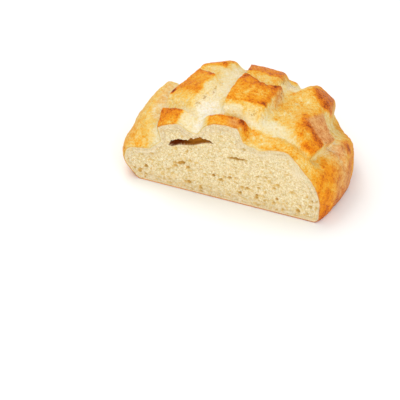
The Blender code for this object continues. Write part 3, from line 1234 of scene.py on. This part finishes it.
@dataclass(frozen=True)
class CrustFinish:
    """Baked crust: pale where it tore open late, golden to brown where the oven reached it.

    Attributes:
        mottle: How much the browning varies from place to place.
        sheen: Roughness of the brownest crust.
        matt: Roughness of the palest crust.
    """

    mottle: float = 0.50
    sheen: float = 0.42
    matt: float = 0.72

    def make(self) -> bpy.types.Material:
        """Builds the material.

        Returns:
            The material.
        """
        graph = Graph("baked_crust")
        bake, floor, edge = (graph.stored(name) for name in ("bake", "floor", "edge"))
        clouds = graph.speckle(15.0, 3.0) - 0.5
        patches = graph.speckle(5.5, 3.0, 0.6) - 0.5
        specks = graph.speckle(2.2, 3.0, 0.6) - 0.5
        fine = graph.speckle(0.8, 2.0) - 0.5
        swing = bake.step(0.05, 0.40) * 0.8 + 0.2 - bake.step(0.50, 0.75) * 0.42
        spread = clouds * 0.8 + patches * 1.5 + specks * 1.4 + fine * 1.1
        tone = bake + spread * self.mottle * swing
        scorched = (edge * 0.8 + bake.step(0.62, 0.85) * 0.5) * (specks + patches * 0.6).step(0.0, 0.26)
        crumbly = floor * (specks * 0.8 + patches * 0.8).step(0.06, 0.24) * (clouds + 0.5).step(0.35, 0.7)
        tone = (tone + scorched * 0.10 + crumbly * 0.16).clamped()
        shade = graph.ramp(tone, BAKE_STOPS)
        rosy = graph.ramp(tone, ROSY_STOPS)
        shade = graph.mix((graph.stored("blush") * 0.9 + clouds * 0.5).clamped(), shade, rosy)
        dim = (fine + specks * 0.6).step(0.02, 0.24)
        shade = graph.mix(dim * 0.35, shade, graph.multiply(shade, colour(234, 218, 184)))
        torn = graph.stored("tear") * (fine * 0.9 + specks * 1.2).step(0.02, 0.14)
        shade = graph.mix((torn * 0.75).clamped(), shade, colour(160, 98, 46))
        height = patches * 0.9 + specks * 1.2 + fine * 0.8 + graph.cells(1.6) * 0.2 - torn * 0.4
        rough = blend_wires(self.matt, self.sheen, tone.step(0.2, 0.8)) + fine * 0.12
        return graph.dress(
            Base_Color=shade,
            Roughness=rough,
            Normal=graph.bump(height, 1.4, 1.0),
            Specular_IOR_Level=0.06,
            Subsurface_Weight=0.06,
            Subsurface_Radius=(1.0, 0.5, 0.25),
            Subsurface_Scale=0.003,
        )


def blend_wires(low: float, high: float, share: Wire) -> Wire:
    """Goes from one number to another as the share goes from 0 to 1."""
    return share * (high - low) + low


@dataclass(frozen=True)
class CrumbFinish:
    """Soft cream crumb with the crust's thin line round it, painted shade in its pores and tunnel, and
    speckled painted highlights and shade.
    """

    line: float = 1.1

    def make(self) -> bpy.types.Material:
        """Builds the material.

        Returns:
            The material.
        """
        graph = Graph("open_crumb")
        rim = graph.stored("rim")
        clouds = graph.speckle(14.0, 3.0)
        coarse = graph.speckle(2.4, 2.0, 0.6)
        fine = graph.speckle(1.1, 2.0, 0.6)
        band = 1.0 - (rim + clouds * 8.0).step(6.0, 18.0)
        calm = 1.0 - band * 0.65
        streak, pore = graph.stored("streak"), graph.stored("pore")
        layers = band * rim.step(2.0, 5.0)
        small = calm * 0.3 + 0.2
        shade = graph.mix(clouds.step(0.35, 0.7), colour(241, 222, 176), colour(233, 212, 160))
        for share, tint in (
            (band * 0.7, (224, 203, 162)),
            # Painted highlights and painted shade of the fine crumb: pale and golden specks scattered at
            # random.
            (coarse.step(0.50, 0.68) * calm * 0.55, (208, 175, 106)),
            ((1.0 - coarse.step(0.32, 0.50)) * calm * 0.6, (255, 246, 220)),
            (fine.step(0.48, 0.66) * small, (210, 178, 114)),
            ((1.0 - fine.step(0.34, 0.50)) * small, (255, 247, 224)),
            (layers * streak.step(0.05, 0.40) * 0.4, (200, 170, 124)),
            (layers * (1.0 - streak.step(-0.40, -0.05)) * 0.35, (252, 241, 218)),
            # Painted shade in the pores: golden, darker the deeper the pore.
            (pore.step(0.10, 0.60) * 0.6, (226, 188, 104)),
            (pore.step(0.45, 1.00) * 0.8, (196, 144, 52)),
        ):
            shade = graph.mix(share, shade, colour(*tint))
        # Painted shade in the tunnel: golden brown, going to dark brown towards its deep left end.
        tunnel_shade = graph.mix(graph.stored("scorch"), colour(182, 118, 34), colour(136, 60, 14))
        shade = graph.mix(graph.stored("tunnel"), shade, tunnel_shade)
        skin = graph.ramp((graph.stored("rim_bake") * 0.8 + 0.18).clamped(), BAKE_STOPS)
        line = 1.0 - (rim + (fine - 0.5) * 0.9).step(self.line * 0.4, self.line * 1.3)
        shade = graph.mix(line * 0.85, shade, skin)
        height = fine * 0.7 + coarse * 1.0 + graph.cells(1.5) * 0.4
        return graph.dress(
            Base_Color=shade,
            Roughness=0.9,
            Specular_IOR_Level=0.05,
            Normal=graph.bump(height, 1.7, 1.0),
            Subsurface_Weight=0.1,
            Subsurface_Radius=(1.0, 0.6, 0.35),
            Subsurface_Scale=0.002,
        )


@dataclass(frozen=True)
class FloorFinish:
    """Plain pale studio paper."""

    tint: Colour = colour(248, 248, 246)

    def make(self) -> bpy.types.Material:
        """Builds the material.

        Returns:
            The material.
        """
        graph = Graph("studio_paper")
        cloud = graph.speckle(300.0, 2.0).step(0.3, 0.7)
        shade = graph.mix(cloud * 0.3, self.tint, colour(251, 251, 250))
        return graph.dress(Base_Color=shade, Roughness=0.8)


@dataclass(frozen=True)
class Lamp:
    """A square soft light.

    Attributes:
        name: Its name.
        place: Its place in mm from the middle of the cut's base line.
        target: Where it points, likewise.
        size: Its side in m.
        power: Its power in W.
    """

    name: str
    place: Point
    target: Point
    size: float
    power: float

    def add(self) -> None:
        """Adds the light to the scene."""
        lamp = bpy.data.lights.new(self.name, "AREA")
        lamp.size = self.size
        lamp.energy = self.power
        light = bpy.data.objects.new(self.name, lamp)
        light.location = to_world(self.place)
        aim = to_world(self.target) - light.location
        light.rotation_euler = aim.to_track_quat("-Z", "Y").to_euler()
        bpy.context.scene.collection.objects.link(light)


@dataclass(frozen=True)
class Studio:
    """The floor, the lights and the camera.

    Attributes:
        camera_place: Place of the camera in mm from the middle of the cut's base line.
        azimuth: How far the camera is turned to the left of straight in, in degrees.
        elevation: How far it looks down, in degrees.
        roll: How far it is tilted, in degrees.
        lens: Focal length in mm.
        sensor: Width of the sensor in mm.
        floor_size: Width of the floor in m.
        floor_gap: How far it lies under the loaf, in m.
        sky: Strength of the even white sky.
        lamps: The soft lights.
    """

    camera_place: Point = (236.8, -740.6, 573.5)
    azimuth: float = 19.46
    elevation: float = 36.5
    roll: float = 2.5
    lens: float = 90.0
    sensor: float = 36.0
    floor_size: float = 6.0
    floor_gap: float = 0.0002
    sky: float = 0.78
    lamps: tuple[Lamp, ...] = (
        Lamp("key", (-420.0, 300.0, 900.0), (0.0, 80.0, 40.0), 0.55, 3.5),
        Lamp("fill", (400.0, -800.0, 500.0), (0.0, 40.0, 40.0), 0.9, 5.0),
    )

    def build(self) -> None:
        """Sets up the studio."""
        self.add_floor()
        for lamp in self.lamps:
            lamp.add()
        self.add_sky()
        self.add_camera()
        bpy.context.scene.view_settings.view_transform = "Standard"

    def add_floor(self) -> None:
        """Adds the floor just under the loaf."""
        deselect_all()
        bpy.ops.mesh.primitive_circle_add(
            vertices=64, radius=self.floor_size / 2, fill_type="NGON", location=(0.0, 0.0, -self.floor_gap)
        )
        floor = bpy.context.active_object
        floor.name = "studio_floor"
        floor.data.materials.append(FloorFinish().make())

    def add_sky(self) -> None:
        """Adds an even white sky."""
        sky = bpy.data.worlds.new("studio_sky")
        sky.use_nodes = True
        background = sky.node_tree.nodes["Background"]
        background.inputs["Color"].default_value = (1.0, 1.0, 1.0, 1.0)
        background.inputs["Strength"].default_value = self.sky
        bpy.context.scene.world = sky

    def add_camera(self) -> None:
        """Adds the camera at the viewing angle of the reference."""
        data = bpy.data.cameras.new("camera")
        data.lens = self.lens
        data.sensor_width = self.sensor
        camera = bpy.data.objects.new("camera", data)
        bpy.context.scene.collection.objects.link(camera)
        turn = Matrix.Rotation(math.radians(self.azimuth), 4, "Z")
        tilt = Matrix.Rotation(math.radians(90.0 - self.elevation), 4, "X")
        roll = Matrix.Rotation(math.radians(self.roll), 4, "Z")
        camera.matrix_world = Matrix.Translation(to_world(self.camera_place)) @ turn @ tilt @ roll
        bpy.context.scene.camera = camera


def dress(piece: bpy.types.Object, finish: bpy.types.Material) -> None:
    """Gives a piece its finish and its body.

    Args:
        piece: The piece.
        finish: Its material.
    """
    piece.data.materials.clear()
    piece.data.materials.append(finish)
    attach(piece, "root")
    LOG.info("%s: %d faces", piece.name, len(piece.data.polygons))


def main() -> None:
    """Builds the loaf and its studio."""
    logging.basicConfig(level=logging.INFO)
    shell = CrustShell()
    crust = shell.build()
    crumb = CrumbFace(shell).build(crust)
    dress(crust, CrustFinish().make())
    dress(crumb, CrumbFinish().make())
    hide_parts("loaf")
    Studio().build()


if __name__ == "__main__":
    main()
